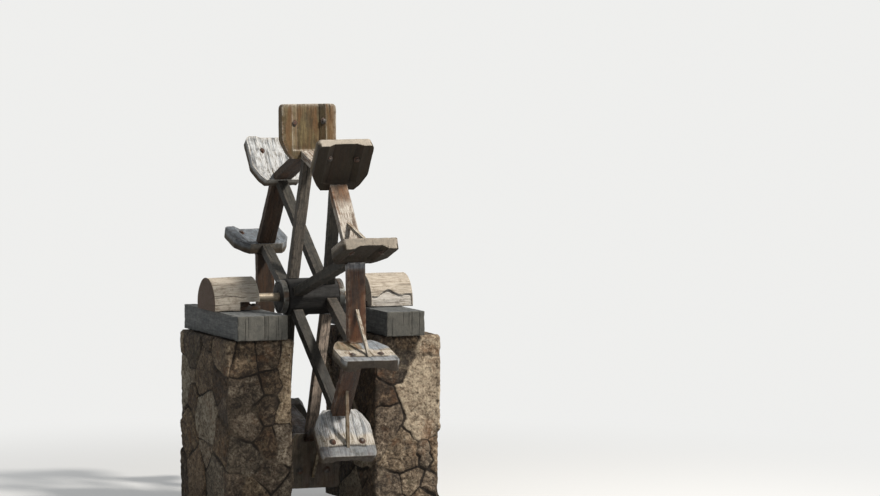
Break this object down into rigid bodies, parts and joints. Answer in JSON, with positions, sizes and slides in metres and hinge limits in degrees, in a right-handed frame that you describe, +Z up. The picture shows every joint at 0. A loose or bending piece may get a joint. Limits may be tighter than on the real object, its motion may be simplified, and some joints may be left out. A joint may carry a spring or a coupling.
{
  "type": "undershot water wheel",
  "caption": "Timber water wheel with flat troughed paddles on a boarded rim, turning in covered bearings on two rubble stone piers.",
  "frame": {"origin": "on the ground under the middle of the axle, centred between the two piers", "axes": "+X along the axle to the right as the wheel is seen from the front, +Y across the axle away from the front, +Z up"},
  "size_m": [1.176, 1.9346, 2.0804],
  "materials": {
    "stone": "rough natural stone laid in mortar",
    "sleeper_timber": "weathered grey sawn timber",
    "bearing_iron": "rusted iron",
    "cover_timber": "sun-bleached log with fine cracks",
    "axle_steel": "worn bare steel",
    "hub_timber": "dark wet timber",
    "band_iron": "worn iron",
    "spoke_timber": "dark damp sawn timber",
    "rim_timber": "wet reddish brown boards",
    "paddle_timber": "weathered planks, bleached and water-stained",
    "strut_timber": "thin weathered bars"
  },
  "bodies": {
    "stand": {"left_pier": "stone", "right_pier": "stone", "left_sleeper": "sleeper_timber", "right_sleeper": "sleeper_timber", "left_bearing": "bearing_iron", "right_bearing": "bearing_iron", "left_cover": "cover_timber", "right_cover": "cover_timber"},
    "wheel": {"axle": "axle_steel", "hub": "hub_timber", "left_hub_band": "band_iron", "right_hub_band": "band_iron", "spoke_1": "spoke_timber", "spoke_2": "spoke_timber", "spoke_3": "spoke_timber", "spoke_4": "spoke_timber", "spoke_5": "spoke_timber", "spoke_6": "spoke_timber", "spoke_7": "spoke_timber", "spoke_8": "spoke_timber", "spoke_9": "spoke_timber", "spoke_10": "spoke_timber", "rim_board_1": "rim_timber", "rim_board_2": "rim_timber", "rim_board_3": "rim_timber", "rim_board_4": "rim_timber", "rim_board_5": "rim_timber", "rim_board_6": "rim_timber", "rim_board_7": "rim_timber", "rim_board_8": "rim_timber", "rim_board_9": "rim_timber", "rim_board_10": "rim_timber", "paddle_1": "paddle_timber", "paddle_2": "paddle_timber", "paddle_3": "paddle_timber", "paddle_4": "paddle_timber", "paddle_5": "paddle_timber", "paddle_6": "paddle_timber", "paddle_7": "paddle_timber", "paddle_8": "paddle_timber", "paddle_9": "paddle_timber", "paddle_10": "paddle_timber", "paddle_struts": "strut_timber"}
  },
  "joints": [
    {"name": "wheel_spin", "type": "hinge", "parent": "stand", "child": "wheel", "pos_m": [0, 0, 1.08], "axis": [1, 0, 0], "continuous": true}
  ]
}
